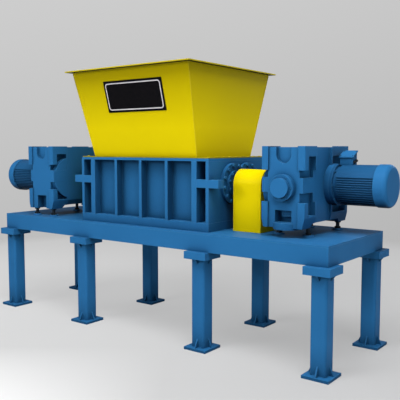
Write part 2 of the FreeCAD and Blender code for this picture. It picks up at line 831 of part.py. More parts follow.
def cross(sketch, middle, side, top):
    """Draw a cross whose upright stands between two places and whose bar ends at the lugs."""
    outline(sketch, [
        (middle[0], top), (middle[0], "upper_lug_start"), (f"-{side}", "upper_lug_start"),
        (f"-{side}", "-lower_lug_start"), (middle[0], "-lower_lug_start"), (middle[0], f"-({top})"),
        (middle[1], f"-({top})"), (middle[1], "-lower_lug_start"), (side, "-lower_lug_start"),
        (side, "upper_lug_start"), (middle[1], "upper_lug_start"), (middle[1], top)])


def gearbox():
    """Make the cast housing about its middle at shaft height, then put it in its place.

    Long faces look along X, narrow ends along Y.  The front end carries the round cover.
    """
    half_x = "gearbox_width/2"
    half_y = "gearbox_length/2"
    half_z = "gearbox_half_height"
    body = new_body("gearbox_right")
    plan = rectangle(sketch_on(body, "XY_Plane", f"-{half_z}"), (f"-{half_x}", half_x),
                     (f"-{half_y}", half_y))
    blank = pad(body, plan, f"2*{half_z} + block_rise")
    round_edges(body, blank, "gearbox_corner", is_upright)
    gearbox_faces(body, half_x, half_y, half_z)
    gearbox_ends(body, half_y, half_z)
    output = circle(sketch_on(body, "YZ_Plane", f"-{half_x}"), "output_place", "0",
                    "output_boss_radius")
    pad(body, output, "output_boss_reach", True)
    shaft_end = "gearbox_inside - coupling_start - coupling_length/2"
    shaft = circle(sketch_on(body, "YZ_Plane", f"-{half_x}"), "output_place", "0",
                   "output_shaft_radius")
    pad(body, shaft, shaft_end, True)
    move(body, "gearbox_place", "gearbox_shift", "shaft_height")
    return body


def gearbox_faces(body, half_x, half_y, half_z):
    """Shape the long faces and the top: corner blocks, pockets, round bosses and feet."""
    head = sketch_on(body, "XY_Plane", f"{half_z} + block_rise")
    block = f"({half_y} - lug_depth - face_pocket_width - block_margin)"
    rectangle(head, (f"-{half_x}", half_x), (f"-{block}", f"{block}"))
    rectangle(head, (f"-{half_x} + lug_width", f"{half_x} - lug_width"), (f"-{half_y}", f"-{block}"))
    rectangle(head, (f"-{half_x} + lug_width", f"{half_x} - lug_width"), (block, half_y))
    pocket(body, head, "block_rise")
    long_face(body, half_x, "motor_pocket_width", False)
    long_face(body, f"-{half_x}", "face_pocket_width", True)
    for place in ("output_place", "-output_place"):
        boss = circle(sketch_on(body, "YZ_Plane", f"-{half_x}"), place, "0", "face_boss_radius")
        pad(body, boss, "face_pocket_depth")
    seat = circle(sketch_on(body, "YZ_Plane", f"{half_x} - face_pocket_depth"),
                  "motor_shift - gearbox_shift", "motor_lift", "motor_flange_radius")
    pad(body, seat, "face_pocket_depth + motor_boss_reach")
    arch_under = sketch_on(body, "YZ_Plane", half_x)
    heel = f"({half_y} - foot_length)"
    outline(arch_under, [(f"-{heel} - foot_recess", f"-{half_z}"), (f"{heel} + foot_recess", f"-{half_z}"),
                         (heel, f"-{half_z} + foot_recess"), (f"-{heel}", f"-{half_z} + foot_recess")])
    pocket(body, arch_under, "gearbox_width")
    tapers = sketch_on(body, "XZ_Plane", f"-({half_y})")
    for way in ("-", ""):
        outline(tapers, [(f"{way}({half_x})", f"-{half_z}"),
                         (f"{way}({half_x} - lug_taper_depth)", f"-{half_z}"),
                         (f"{way}({half_x})", f"-{half_z} + lug_taper_height")])
    pocket(body, tapers, "gearbox_length", True)


def gearbox_ends(body, half_y, half_z):
    """Shape the narrow ends: a face sunk between the lugs, a round notch, windows, the lip."""
    for sign, backwards in (("", False), ("-", True)):
        between = sketch_on(body, "XZ_Plane", f"{sign}{half_y}")
        cross(between, ("(lug_width - gearbox_width/2)", "(gearbox_width/2 - lug_width)"),
              "gearbox_width/2", half_z)
        pocket(body, between, "end_recess", backwards)
        notch = circle(sketch_on(body, "XZ_Plane", f"{sign}{half_y}"), "0",
                       f"{half_z} - end_notch_drop + end_notch_radius", "end_notch_radius")
        pocket(body, notch, "end_notch_depth", backwards)
        slot = rectangle(sketch_on(body, "XZ_Plane", f"{sign}{half_y}"),
                         ("-end_notch_radius", "end_notch_radius"),
                         (f"{half_z} - end_notch_drop + end_notch_radius", half_z))
        pocket(body, slot, "end_notch_depth", backwards)
    window = rectangle(sketch_on(body, "XZ_Plane", half_y), ("-window_width/2", "window_width/2"),
                       (f"-{half_z} + window_lift", f"-{half_z} + window_lift + window_height"))
    pocket(body, window, "window_depth")
    opening = rectangle(sketch_on(body, "XZ_Plane", f"-{half_y}"),
                        ("-rear_opening_width/2", "rear_opening_width/2"),
                        (f"-{half_z}", f"-{half_z} + rear_opening_height"))
    pocket(body, opening, "window_depth", True)
    lip = circle(sketch_on(body, "XY_Plane", f"-{half_z} - lip_drop"), "0",
                 f"-{half_y} + lip_radius - lip_reach", "lip_radius")
    pad(body, lip, "lip_height + lip_drop")


def gearbox_cover():
    """Make the round two-step cover on the front end of the gearbox."""
    body = new_body("gearbox_cover_right")
    face = "gearbox_length/2 - end_recess"
    ring = circle(sketch_on(body, "XZ_Plane", face), "0", "0", "cover_ring_radius")
    pad(body, ring, "cover_ring_thickness")
    disc = circle(sketch_on(body, "XZ_Plane", f"{face} + cover_ring_thickness"), "0", "0",
                  "cover_disc_radius")
    pad(body, disc, "cover_disc_thickness")
    move(body, "gearbox_place", "gearbox_shift", "shaft_height")
    return body


def gearbox_feet():
    """Make the four studs that carry the gearbox, each on a round foot."""
    studs = []
    for along, inset, top in (("-", "stud_front_inset", "gearbox_bottom + foot_recess"),
                              ("+", "stud_back_inset", "gearbox_bottom")):
        for across in ("-", "+"):
            x = f"gearbox_place {across} stud_side_place"
            y = f"gearbox_shift {along} (gearbox_length/2 - {inset})"
            foot = upright("stud_foot", "stud_foot_radius", x, y,
                           ("table_height", "table_height + stud_foot_thickness"))
            stem = upright("stud_stem", "stud_radius", x, y,
                           ("table_height + stud_foot_thickness", top))
            studs.append(fuse("stud", foot, stem))
    return group("gearbox_feet_right", *studs)


def motor():
    """Make the motor about X by turning, then sink the level gaps between its fins."""
    body = new_body("motor_right")
    end = "cowl_start + cowl_overlap"
    profile = outline(sketch_on(body, "XZ_Plane"), [
        ("-motor_flange_thickness", "0"), ("-motor_flange_thickness", "motor_flange_radius"),
        ("0", "motor_flange_radius"), ("0", "motor_shield_radius"),
        ("motor_shield_length", "motor_shield_radius"), ("motor_shield_length", "fin_radius"),
        ("cowl_start", "fin_radius"), ("cowl_start", "cowl_seat_radius"),
        (end, "cowl_seat_radius"), (end, "0")])
    revolve(body, profile)
    gap = rectangle(sketch_on(body, "YZ_Plane", "cowl_start"), ("-fin_radius", "fin_radius"),
                    ("fin_top - fin_gap", "fin_top"))
    repeat_down(body, pocket(body, gap, "cowl_start - motor_shield_length"), "fin_run", "fin_count")
    core = circle(sketch_on(body, "YZ_Plane", "motor_shield_length"), "0", "0", "motor_body_radius")
    pad(body, core, "cowl_start - motor_shield_length")
    move(body, "motor_start", "motor_shift", "motor_height")
    return body


def fan_cowl():
    """Make the sheet cowl over the fan end of the motor, with a rounded rear edge."""
    body = new_body("fan_cowl_right")
    disc = circle(sketch_on(body, "YZ_Plane", "cowl_start"), "0", "0", "cowl_radius")
    solid = pad(body, disc, "cowl_length")
    doc.recompute()
    near = solid.Shape.BoundBox.XMin + 0.01
    far = solid.Shape.BoundBox.XMax - 0.01
    rounded = round_edges(body, solid, "cowl_round", lambda edge: edge.BoundBox.XMin > far)
    hollow_out(body, rounded, "cowl_sheet", lambda face: face.BoundBox.XMax < near)
    move(body, "motor_start", "motor_shift", "motor_height")
    return body


def terminal_box():
    """Make the terminal box with its sloping lid, saddled onto the fins."""
    body = new_body("terminal_box_blank")
    across = "terminal_box_width/2"
    front = "fin_radius + terminal_box_height"
    back = f"{front} + terminal_box_rise"
    side = outline(sketch_on(body, "YZ_Plane"), [
        (f"-{across}", "motor_body_radius"), (across, "motor_body_radius"), (across, back),
        (f"-{across}", front)])
    pad(body, side, "terminal_box_length")
    lid = outline(sketch_on(body, "YZ_Plane", "-terminal_lid_overhang"), [
        (f"-{across} - terminal_lid_overhang", front),
        (f"{across} + terminal_lid_overhang", f"{back}"),
        (f"{across} + terminal_lid_overhang", f"{back} + terminal_lid_thickness"),
        (f"-{across} - terminal_lid_overhang", f"{front} + terminal_lid_thickness")])
    pad(body, lid, "terminal_box_length + 2*terminal_lid_overhang")
    move(body, "motor_start + terminal_box_place", "motor_shift", "motor_height")
    saddle = round_bar("terminal_box_saddle", "fin_radius + fit_clearance",
                       ("motor_start", "motor_start + motor_shield_length + motor_body_length"),
                       "motor_shift", "motor_height")
    return cut("terminal_box_right", body, saddle)


def drives():
    """Make the drive at the right end and turn each piece of it over to the left."""
    made = []
    for make in (coupling, guard, gearbox, gearbox_cover, gearbox_feet, motor, fan_cowl, terminal_box):
        piece = make()
        made += [piece, turned(piece.Label.replace("right", "left"), piece)]
    return made


def check_document():
    """Stop if any object of the document failed to recompute."""
    for thing in doc.Objects:
        if {"Invalid", "Error"} & set(thing.State):
            raise RuntimeError(f"{thing.Label} failed: {thing.State}")


def export(pieces):
    """Write each piece to a file named after its node."""
    os.makedirs("parts", exist_ok=True)
    for piece in pieces:
        shape = piece.Shape
        if shape.isNull() or not shape.isValid():
            raise RuntimeError(f"{piece.Label} has no valid shape")
        shape.exportStep(f"parts/{piece.Label}.step")
        box = shape.BoundBox
        print(f"{piece.Label}: {len(shape.Solids)} solids, {shape.Volume / 1e9:.4f} m3, "
              f"{box.XLength:.0f} x {box.YLength:.0f} x {box.ZLength:.0f} mm")


make_sheet()
front_scraper = scraper()
pieces = legs() + table() + chamber() + hopper() + rotor()
pieces += [front_scraper, turned("scraper_back", front_scraper)]
pieces += bearings() + drives()
doc.recompute()
check_document()
export(pieces)
print(f"{len(pieces)} nodes")
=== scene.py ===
# %% [markdown]
# # Dressing a double shaft shredder
# The machine arrives as a imported CAD model in metres, with every solid in its place.  This lesson
# paints it, adds the small pieces that the CAD leaves out, and sets the light, floor and camera.

# %% Load the machine
import json
import math

import bmesh
import bpy
from mathutils import Matrix, Vector


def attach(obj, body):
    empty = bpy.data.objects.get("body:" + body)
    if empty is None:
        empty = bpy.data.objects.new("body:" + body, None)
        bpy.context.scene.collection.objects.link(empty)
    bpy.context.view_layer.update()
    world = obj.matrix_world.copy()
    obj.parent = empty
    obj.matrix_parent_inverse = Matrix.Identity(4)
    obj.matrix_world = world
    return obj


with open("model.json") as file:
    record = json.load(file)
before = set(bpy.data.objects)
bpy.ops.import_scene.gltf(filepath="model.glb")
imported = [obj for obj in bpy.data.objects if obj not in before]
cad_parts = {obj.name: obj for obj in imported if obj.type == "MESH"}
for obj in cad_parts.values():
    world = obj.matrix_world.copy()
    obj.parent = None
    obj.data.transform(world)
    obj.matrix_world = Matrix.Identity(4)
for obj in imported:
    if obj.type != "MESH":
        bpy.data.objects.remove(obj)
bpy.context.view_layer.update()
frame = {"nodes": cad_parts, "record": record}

# %% [markdown]
# ## One clean start for every operator
# A Blender operator acts on all that is selected, and the loader leaves the whole machine
# selected.  So each piece begins with nothing selected, and faces and edges are picked in code,
# by where they are or which way they face, as a hand would click them.


# %% Selecting
def deselect_all():
    """Leave edit mode and select nothing."""
    if bpy.context.object and bpy.context.object.mode != "OBJECT":
        bpy.ops.object.mode_set(mode="OBJECT")
    bpy.ops.object.select_all(action="DESELECT")


def take(*pieces):
    """Select pieces alone, the first one active."""
    deselect_all()
    for piece in pieces:
        piece.select_set(True)
    bpy.context.view_layer.objects.active = pieces[0]
    return pieces[0]


def shape(piece):
    """Go into edit mode on one piece."""
    take(piece)
    bpy.ops.object.mode_set(mode="EDIT")
    bpy.ops.mesh.select_all(action="DESELECT")


def pick_faces(piece, test):
    """Select the faces whose middle and normal pass the test, and count them."""
    bpy.ops.mesh.select_mode(type="FACE")
    bpy.ops.mesh.select_all(action="DESELECT")
    mesh = bmesh.from_edit_mesh(piece.data)
    chosen = [face for face in mesh.faces if test(face.calc_center_median(), face.normal)]
    for face in chosen:
        face.select_set(True)
    bmesh.update_edit_mesh(piece.data)
    return len(chosen)


def pick_edges(piece, test):
    """Select the edges whose two ends pass the test, and count them."""
    bpy.ops.mesh.select_mode(type="EDGE")
    bpy.ops.mesh.select_all(action="DESELECT")
    mesh = bmesh.from_edit_mesh(piece.data)
    chosen = [edge for edge in mesh.edges if test(edge.verts[0].co, edge.verts[1].co)]
    for edge in chosen:
        edge.select_set(True)
    bmesh.update_edit_mesh(piece.data)
    return len(chosen)


deselect_all()
print("nothing selected")

# %% [markdown]
# ## Sums with sockets
# A material is a sum of patterns, and sums read best as sums.  `Field` wraps one socket and gives
# it plus, minus and times, also from the right, so `1 - mask` works.  `Finish` holds the material:
# `node` makes any node in one line, and `feed` plugs a field into the shader.


# %% Field and Finish
class Field:
    """One socket of a material that can be used in a sum."""

    def __init__(self, finish, socket):
        self.finish = finish
        self.socket = socket

    def math(self, operation, *values):
        return self.finish.node("ShaderNodeMath", {"operation": operation},
                                dict(enumerate(values)))

    def __add__(self, other):
        return self.math("ADD", self, other)

    def __radd__(self, other):
        return self.math("ADD", other, self)

    def __sub__(self, other):
        return self.math("SUBTRACT", self, other)

    def __rsub__(self, other):
        return self.math("SUBTRACT", other, self)

    def __mul__(self, other):
        return self.math("MULTIPLY", self, other)

    def __rmul__(self, other):
        return self.math("MULTIPLY", other, self)

    def between(self, low, high):
        """Rise from 0 at low to 1 at high, and stay there."""
        return self.finish.node("ShaderNodeMapRange", {"clamp": True},
                                {"Value": self, "From Min": low, "From Max": high})


class Finish:
    """A material in the making, with its shader and the place of each point on the machine."""

    def __init__(self, name, **constants):
        self.material = bpy.data.materials.new(name)
        self.material.use_nodes = True
        self.tree = self.material.node_tree
        self.shader = self.tree.nodes["Principled BSDF"]
        for socket, value in constants.items():
            self.shader.inputs[socket.replace("_", " ")].default_value = value
        self.place = self.node("ShaderNodeTexCoord", output="Object")

    def node(self, kind, settings=None, inputs=None, output=0):
        """Add a node: its settings first, then its sockets' values or links."""
        node = self.tree.nodes.new(kind)
        for name, value in (settings or {}).items():
            setattr(node, name, value)
        for name, value in (inputs or {}).items():
            if isinstance(value, Field):
                self.tree.links.new(value.socket, node.inputs[name])
            else:
                node.inputs[name].default_value = value
        return Field(self, node.outputs[output])

    def noise(self, scale, detail=3.0, rough=0.55, stretch=(1, 1, 1)):
        """Soft random patches, scale of them to a metre."""
        spot = self.node("ShaderNodeMapping", {}, {"Vector": self.place, "Scale": stretch})
        return self.node("ShaderNodeTexNoise", {}, {"Vector": spot, "Scale": scale,
                                                    "Detail": detail, "Roughness": rough})

    def blend(self, factor, first, second):
        """Go from one colour to another as the factor goes from 0 to 1."""
        settings = {"data_type": "RGBA", "clamp_factor": True}
        inputs = {0: factor, 6: first, 7: second}
        return self.node("ShaderNodeMix", settings, inputs, output=2)

    def feed(self, socket, value):
        """Plug a field into the shader."""
        self.tree.links.new(value.socket, self.shader.inputs[socket])
        return self


print("patterns ready")

# %% [markdown]
# ## Machine enamel
# The table, chamber and drives are sprayed blue and the hopper and guards yellow, in one coat over
# welded plate.  Real enamel isn't one colour: it pools a little and dulls where dust settles.  The
# Bevel node finds the edges: where its softened normal leaves the true one there is an edge, and
# there the paint is mixed paler as a painted highlight.  The Ambient Occlusion node finds the
# sheltered places, such as bays and corners, and darkens the paint there as painted shade.  Faces
# that look down, such as the rim's underside, are painted almost black as shade, and painted shade
# darkens the paint towards the hopper's rim.  The wall behind the ribs takes a wider, stronger
# painted shade, and the motors a darker copy of the blue, also as painted shade.

# %% Enamel
EDGE_RADIUS = 0.006
REACH = 0.36
RIM_SHADE_HEIGHTS = (2.45, 3.05)
UNDERSIDE_SHADE = (0.002, 0.003, 0.004, 1)


def enamel(name, colour, deep, pale, roughness, occlusion_shade_strength, reach=REACH):
    """Make a sprayed enamel with soft patches, dusty tops, painted highlights on the edges and painted
    shade.
    """
    finish = Finish(name, Roughness=roughness, IOR=1.45, Specular_IOR_Level=0.03)
    soft = finish.node("ShaderNodeBevel", {"samples": 6}, {"Radius": EDGE_RADIUS})
    geometry = finish.node("ShaderNodeNewGeometry", output="Normal")
    agree = finish.node("ShaderNodeVectorMath", {"operation": "DOT_PRODUCT"},
                        {0: soft, 1: geometry}, output="Value")
    # Painted highlight: this edge mask mixes the paint towards the pale colour along every edge.
    edge = (1 - agree).between(0.01, 0.22)
    patches = finish.noise(1.6, detail=4).between(0.35, 0.7)
    grime = finish.noise(9.0, detail=6, rough=0.65).between(0.55, 0.8)
    up = finish.node("ShaderNodeSeparateXYZ", {}, {"Vector": geometry}, output="Z")
    level = up.between(0.5, 0.95)
    dust = level * grime
    # Painted shade: places sheltered within the reach, found by ambient occlusion, are darkened.
    open_air = finish.node("ShaderNodeAmbientOcclusion", {"samples": 8}, {"Distance": reach},
                           output="AO")
    painted_occlusion_shade = (1 - open_air.between(0.50, 1.0)) * (1 - 0.8 * level)
    paint = finish.blend(patches * 0.35, colour, deep)
    # The paint darkened to 30 percent, the colour of all the painted shade below.
    shade = tuple(0.30 * part for part in colour[:3]) + (1,)
    # Painted shade: the paint darkens with height towards the hopper's rim.
    height = finish.node("ShaderNodeSeparateXYZ", {}, {"Vector": finish.place}, output="Z")
    painted_rim_shade = height.between(*RIM_SHADE_HEIGHTS)
    paint = finish.blend(painted_occlusion_shade * occlusion_shade_strength, paint, shade)
    paint = finish.blend(painted_rim_shade * 0.60, paint, shade)
    # Painted shade: faces that look down are made almost black.
    paint = finish.blend((0 - up).between(0.5, 0.95) * 0.95, paint, UNDERSIDE_SHADE)
    # Painted highlight along the edges.
    paint = finish.blend(edge * 0.35, paint, pale)
    paint = finish.blend(dust * 0.04, paint, (0.42, 0.40, 0.36, 1))
    finish.feed("Base Color", paint)
    finish.feed("Roughness", roughness + 0.10 * patches + 0.16 * dust - 0.06 * edge)
    peel = finish.noise(150.0, detail=2)
    ripple = finish.noise(5.0, detail=2)
    relief = peel * 0.35 + ripple * 1.0
    finish.feed("Normal", finish.node("ShaderNodeBump", {}, {
        "Strength": 0.10, "Distance": 0.004, "Height": relief, "Normal": soft}))
    return finish.material


BLUE, BLUE_DEEP, BLUE_EDGE_HIGHLIGHT = (0.020, 0.132, 0.318, 1), (0.015, 0.108, 0.270, 1), (0.085, 0.27, 0.50, 1)
YELLOW = (0.715, 0.570, 0.001, 1)
blue_paint = enamel("blue_enamel", BLUE, BLUE_DEEP, BLUE_EDGE_HIGHLIGHT, 0.36, occlusion_shade_strength=0.70)
yellow_paint = enamel("yellow_enamel", YELLOW, (0.67, 0.520, 0.001, 1), (0.86, 0.76, 0.18, 1), 0.34,
                      occlusion_shade_strength=0.40)
# Painted shade: the wall behind the ribs takes wider, stronger occlusion shade.
bay_shaded_paint = enamel("bay_enamel_painted_shade", BLUE, BLUE_DEEP, BLUE_EDGE_HIGHLIGHT, 0.38, occlusion_shade_strength=0.90, reach=0.70)
# Painted shade: the motors take a darker copy of the blue, standing in for the shade between their
# fins.
motor_shaded_paint = enamel("motor_enamel_painted_shade", (0.013, 0.082, 0.200, 1), (0.010, 0.068, 0.170, 1),
                     (0.06, 0.18, 0.35, 1), 0.34, occlusion_shade_strength=0.30)
flange_paint = enamel("flange_enamel", (0.30, 0.26, 0.004, 1), (0.22, 0.19, 0.004, 1),
                      (0.45, 0.40, 0.08, 1), 0.40, occlusion_shade_strength=0.60)
print("enamels:", blue_paint.name, yellow_paint.name, bay_shaded_paint.name, motor_shaded_paint.name,
      flange_paint.name)

# %% [markdown]
# ## Bare steel
# The shafts and cutters are machined alloy steel, grey-brown from oil and dust and bright only
# where material rubs.  The same few patterns, darker and metallic, give that.  The jacking studs
# and their nuts are black-oxide steel, almost matt, and the studs stand on feet painted blue.


# %% Steel
def steel(name, bright, dull, roughness, metallic=1.0, lay=(1, 1, 1), index=2.4):
    """Make a steel with fine machining marks along the lay and duller, browner patches."""
    finish = Finish(name, IOR=index)
    patches = finish.noise(7.0, detail=5, rough=0.6).between(0.35, 0.68)
    marks = finish.noise(60.0, detail=3, rough=0.6, stretch=lay)
    finish.feed("Base Color", finish.blend(patches, bright, dull))
    finish.feed("Metallic", metallic - 0.35 * patches)
    finish.feed("Roughness", roughness + 0.22 * patches + 0.10 * marks)
    finish.feed("Normal", finish.node("ShaderNodeBump", {}, {
        "Strength": 0.15, "Distance": 0.002, "Height": marks}))
    return finish.material


cutter_steel = steel("cutter_steel", (0.33, 0.33, 0.34, 1), (0.13, 0.11, 0.095, 1), 0.32)
shaft_steel = steel("shaft_steel", (0.50, 0.50, 0.51, 1), (0.22, 0.20, 0.18, 1), 0.26,
                    lay=(6.0, 0.3, 0.3))
dark_steel = steel("black_oxide_steel", (0.008, 0.015, 0.022, 1), (0.006, 0.010, 0.014, 1), 0.46,
                   metallic=0.40, index=1.35)
STUD_FOOT = 1.316
stud_finish = Finish("studs_on_painted_feet", Roughness=0.46, IOR=1.35)
stud_height = stud_finish.node("ShaderNodeSeparateXYZ", {}, {"Vector": stud_finish.place}, output="Z")
stud_finish.feed("Base Color", stud_finish.blend(
    stud_height.between(STUD_FOOT + 0.001, STUD_FOOT + 0.002), BLUE, (0.006, 0.014, 0.022, 1)))
print("steels:", cutter_steel.name, shaft_steel.name, dark_steel.name)

# %% [markdown]
# ## Painting the CAD pieces
# Each CAD piece already names its material slot in the record, so the paint follows the record.
# The few steel pieces are then told apart by what they do.

# %% Paint by slot
BY_SLOT = {"blue_paint": blue_paint, "yellow_paint": yellow_paint, "bare_steel": cutter_steel}
BY_NODE = {"chamber_front_wall": bay_shaded_paint, "chamber_back_wall": bay_shaded_paint,
           "motor_right": motor_shaded_paint, "motor_left": motor_shaded_paint, "hopper_flange": flange_paint,
           "shaft_front": shaft_steel, "shaft_back": shaft_steel,
           "coupling_right": dark_steel, "coupling_left": dark_steel,
           "gearbox_feet_right": stud_finish.material, "gearbox_feet_left": stud_finish.material}
painted = 0
for part in frame["record"]["subparts"]:
    node = frame["nodes"][part["node"]]
    finish = BY_NODE.get(part["node"], BY_SLOT[part["material_slot"]])
    for slot in node.material_slots:
        slot.material = finish
        painted += 1
print(painted, "slots painted")

# %% [markdown]
# ## Laying pieces in place
# Every small piece is modelled once at the origin, standing on the XY plane, and then copied to
# its seats.  A seat is a matrix: a point, the direction that stands up from the surface, and a
# turn about it.  The copies are joined into one piece whose own place stays at the origin.  The
# machine is the same after half a turn, so each row of seats also gives the row at the other end.

# %% Seats and rows
HALF_TURN = Matrix.Rotation(math.pi, 4, "Z")
X, Y, Z = Vector((1, 0, 0)), Vector((0, 1, 0)), Vector((0, 0, 1))


def seat(point, normal, turn=0.0):
    """Stand a pattern on a point, facing along the normal."""
    tilt = Vector(normal).to_track_quat("Z", "Y").to_matrix().to_4x4()
    return Matrix.Translation(point) @ tilt @ Matrix.Rotation(turn, 4, "Z")


def other_end(seats):
    """Turn a row of seats to the other end of the machine."""
    return [HALF_TURN @ place for place in seats]


def ring_of_seats(centre, normal, radius, angles):
    """Set seats on a circle, with angles in degrees from +Y, rising to +Z, or from +X on top."""
    first, second = (X, Y) if abs(normal.z) > 0.9 else (Y if abs(normal.x) > 0.9 else X, Z)
    return [seat(Vector(centre) + radius * (first * math.cos(a) + second * math.sin(a)), normal, a)
            for a in map(math.radians, angles)]


def register(piece, name, finish):
    """Name a finished piece, paint it and let it ride on the machine."""
    piece.name = name
    piece.data.name = name
    piece.data.materials.clear()
    piece.data.materials.append(finish)
    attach(piece, "root")
    return piece


def lay_row(name, pattern, seats, finish):
    """Copy a pattern to every seat and join the copies into one piece."""
    copies = []
    for place in seats:
        copy = pattern.copy()
        copy.data = pattern.data.copy()
        copy.data.transform(place)
        bpy.context.collection.objects.link(copy)
        copies.append(copy)
    take(*copies)
    bpy.ops.object.join()
    return register(bpy.context.object, name, finish)


def lay_both(name, pattern, seats, finish):
    """Lay a row at the right end and its twin at the left end."""
    lay_row(f"{name}_right", pattern, seats, finish)
    lay_row(f"{name}_left", pattern, other_end(seats), finish)
    print(name, "2 x", len(seats))


def drop(*patterns):
    """Delete the patterns once their copies are laid."""
    take(*patterns)
    bpy.ops.object.delete()


# %% [markdown]
# ## Bolts
# A hexagon bolt is a six-sided head with its corners turned off, on a washer.  Its proportions
# follow the thread: a head 1.5 threads across flats and 0.65 high, a washer 2 threads across.  The
# head starts as a six-sided cylinder whose top rim is bevelled.  A socket screw is a low disc
# whose top is inset and pushed down.


# %% Bolt patterns
def hex_bolt(thread):
    """Model a hexagon bolt with its washer, seated at the origin."""
    washer_height = 0.17 * thread
    deselect_all()
    bpy.ops.mesh.primitive_cylinder_add(vertices=16, radius=1.02 * thread, depth=washer_height,
                                        location=(0, 0, washer_height / 2))
    washer = bpy.context.object
    shape(washer)
    pick_edges(washer, lambda a, b: min(a.z, b.z) > 0)
    bpy.ops.mesh.bevel(offset=0.05 * thread, segments=1)
    deselect_all()
    bpy.ops.mesh.primitive_cylinder_add(vertices=6, radius=0.866 * thread, depth=0.65 * thread,
                                        location=(0, 0, washer_height + 0.325 * thread))
    head = bpy.context.object
    bpy.ops.object.transform_apply(location=True)
    shape(head)
    pick_edges(head, lambda a, b: min(a.z, b.z) > washer_height + 0.6 * thread)
    bpy.ops.mesh.bevel(offset=0.09 * thread, segments=2)
    bpy.ops.object.mode_set(mode="OBJECT")
    take(washer)
    bpy.ops.object.transform_apply(location=True)
    take(washer, head)
    bpy.ops.object.join()
    return bpy.context.object


def socket_screw(thread, height):
    """Model a low round screw head with a hexagon socket."""
    deselect_all()
    bpy.ops.mesh.primitive_cylinder_add(vertices=18, radius=0.8 * thread, depth=height,
                                        location=(0, 0, height / 2))
    screw = bpy.context.object
    bpy.ops.object.transform_apply(location=True)
    shape(screw)
    pick_edges(screw, lambda a, b: min(a.z, b.z) > height * 0.9)
    bpy.ops.mesh.bevel(offset=0.07 * thread, segments=2)
    pick_faces(screw, lambda middle, normal: normal.z > 0.99 and middle.length < height * 1.01)
    bpy.ops.mesh.inset(thickness=0.28 * thread)
    bpy.ops.mesh.extrude_region_move(TRANSFORM_OT_translate={"value": (0, 0, -0.6 * height)})
    bpy.ops.object.mode_set(mode="OBJECT")
    return screw


bolt_m24 = hex_bolt(0.024)
bolt_m16 = hex_bolt(0.016)
bolt_m12 = hex_bolt(0.012)
bolt_m8 = hex_bolt(0.008)
ledge_screw = socket_screw(0.020, 0.006)
print("bolt faces:", len(bolt_m24.data.polygons), "screw faces:", len(ledge_screw.data.polygons))

# %% [markdown]
# ## Bolts on the machine
# The bearing housings show a ring of bolts beside the guard in the photograph.  The places that
# the camera can't see well, such as the bearing caps and motor flange, get the bolts that such
# pieces need.  They were sprayed together with the machine.

# %% Bearing bolts
AXIS = 1.815
SHAFT = 0.145
HOUSING_FACE = 1.040
CAP_FACE = 1.062
FRONT_ANGLES = range(70, 300, 30)
CAP_ANGLES = range(85, 286, 40)
front_bolts = ring_of_seats((HOUSING_FACE, -SHAFT, AXIS), X, 0.208, FRONT_ANGLES)
back_bolts = ring_of_seats((HOUSING_FACE, SHAFT, AXIS), X, 0.208, [a + 180 for a in FRONT_ANGLES])
lay_both("housing_bolts", bolt_m24, front_bolts + back_bolts, blue_paint)
cap_bolts = ring_of_seats((CAP_FACE, -SHAFT, AXIS), X, 0.128, CAP_ANGLES)
cap_bolts += ring_of_seats((CAP_FACE, SHAFT, AXIS), X, 0.128, [a + 180 for a in CAP_ANGLES])
lay_both("cap_bolts", bolt_m16, cap_bolts, blue_paint)

# %% Flange and cover bolts
MOTOR = (2.146, 0.250, AXIS + 0.011)
flange_bolts = ring_of_seats(MOTOR, X, 0.211, range(0, 360, 45))
lay_both("motor_flange_bolts", bolt_m12, flange_bolts, blue_paint)
COVER_RING = (1.829, -0.492, AXIS)
cover_bolts = ring_of_seats(COVER_RING, -Y, 0.120, range(0, 360, 60))
lay_both("cover_screws", bolt_m8, cover_bolts, blue_paint)

# %% Hopper ledge screws
LEDGE = 2.117
SCREW_PLACES = (-0.52, -0.39, -0.26, -0.13, 0.0, 0.13, 0.26, 0.39, 0.52)
screws = [seat((0.950, y, LEDGE), Z) for y in SCREW_PLACES]
lay_both("ledge_screws", ledge_screw, screws, yellow_paint)

# %% [markdown]
# ## Nuts on the jacking studs
# Each gearbox stands on four threaded studs.  A pair of thin nuts locks each stud, one under the
# casting and one on the foot.  The nut is the same six-sided start, bevelled at both rims.


# %% Stud nuts
def hex_nut(thread, height):
    """Model a nut seated at the origin."""
    deselect_all()
    bpy.ops.mesh.primitive_cylinder_add(vertices=6, radius=0.866 * thread, depth=height,
                                        location=(0, 0, height / 2))
    nut = bpy.context.object
    bpy.ops.object.transform_apply(location=True)
    shape(nut)
    pick_edges(nut, lambda a, b: abs(a.z - b.z) < height * 0.1)
    bpy.ops.mesh.bevel(offset=0.08 * thread, segments=2)
    bpy.ops.object.mode_set(mode="OBJECT")
    return nut


stud_nut = hex_nut(0.042, 0.020)
STUD_X = (1.658, 2.000)
STUD_Y = {-0.200: 1.4215, 0.520: 1.3795}
nuts = [seat((x, y, z), Z, 0.3 * x) for x in STUD_X for y, under in STUD_Y.items()
        for z in (STUD_FOOT, under)]
lay_both("stud_nuts", stud_nut, nuts, dark_steel)
drop(bolt_m24, bolt_m16, bolt_m12, bolt_m8, ledge_screw, stud_nut)

# %% [markdown]
# ## Terminal box
# The lid is held by four small screws, and two cable glands stand on the side of the box away
# from the gearbox.  A gland is a collar, a six-sided nut and a tapered cap: one cylinder whose
# top is extruded and scaled in steps.


